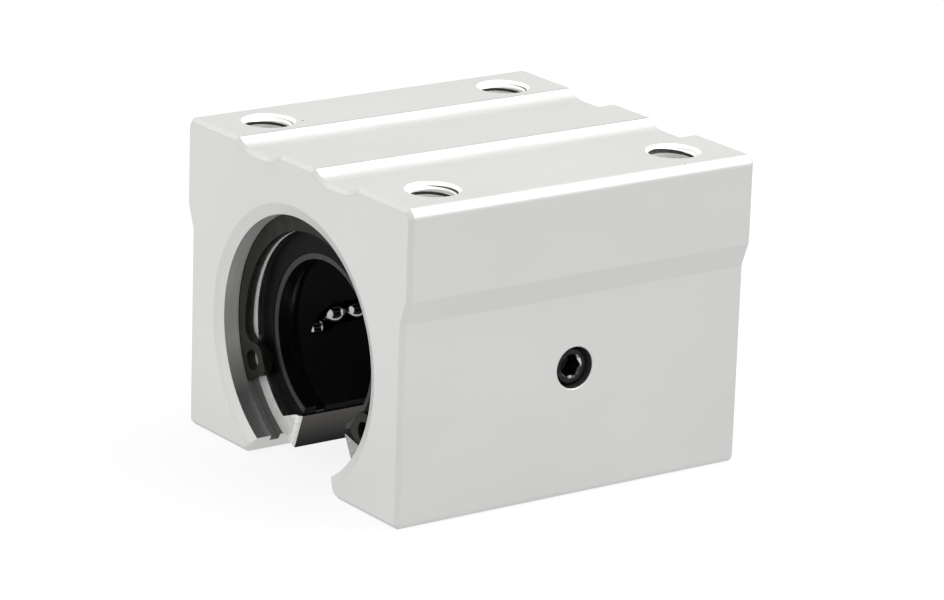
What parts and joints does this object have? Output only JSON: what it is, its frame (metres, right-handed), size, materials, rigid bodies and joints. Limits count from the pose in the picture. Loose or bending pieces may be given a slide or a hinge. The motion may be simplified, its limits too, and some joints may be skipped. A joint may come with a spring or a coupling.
{
  "type": "linear bearing block",
  "caption": "Slotted aluminium pillow block with an open recirculating ball bushing, snap rings, seals and a side screw that sets the play on a supported shaft",
  "frame": {"origin": "on the shaft's axis, at the middle of the block's length", "axes": "+Y along the shaft towards the rear end, +Z towards the mounting face with the tapped holes, +X towards the side with the adjusting screw; metres"},
  "size_m": [0.048, 0.05, 0.039],
  "materials": {
    "satin_aluminium": "satin extruded and milled aluminium, clear anodised",
    "black_oxide_steel": "black oxide",
    "phosphated_steel": "dark phosphated spring steel",
    "bearing_steel": "ground bearing steel",
    "ring_steel": "stamped steel",
    "black_resin": "black moulded resin",
    "black_rubber": "black nitrile rubber",
    "ball_steel": "polished bearing steel"
  },
  "bodies": {
    "block": {"housing": "satin_aluminium", "snap_ring_front": "phosphated_steel", "snap_ring_rear": "phosphated_steel", "bearing_sleeve": "bearing_steel", "ball_retainer": "black_resin", "end_ring_front": "ring_steel", "end_ring_rear": "ring_steel", "seal_front": "black_rubber", "seal_rear": "black_rubber", "loaded_balls_1": "ball_steel", "loaded_balls_2": "ball_steel", "loaded_balls_3": "ball_steel", "loaded_balls_4": "ball_steel", "return_balls_1": "ball_steel", "return_balls_2": "ball_steel", "return_balls_3": "ball_steel", "return_balls_4": "ball_steel", "front_turn_balls_1": "ball_steel", "front_turn_balls_2": "ball_steel", "front_turn_balls_3": "ball_steel", "front_turn_balls_4": "ball_steel", "rear_turn_balls_1": "ball_steel", "rear_turn_balls_2": "ball_steel", "rear_turn_balls_3": "ball_steel", "rear_turn_balls_4": "ball_steel"},
    "adjusting_screw": {"adjusting_screw": "black_oxide_steel"}
  },
  "joints": [
    {"name": "adjusting_screw_turn", "type": "hinge", "parent": "block", "child": "adjusting_screw", "pos_m": [0.019, 0, 0], "axis": [1, 0, 0], "range_deg": [0, 360]}
  ]
}
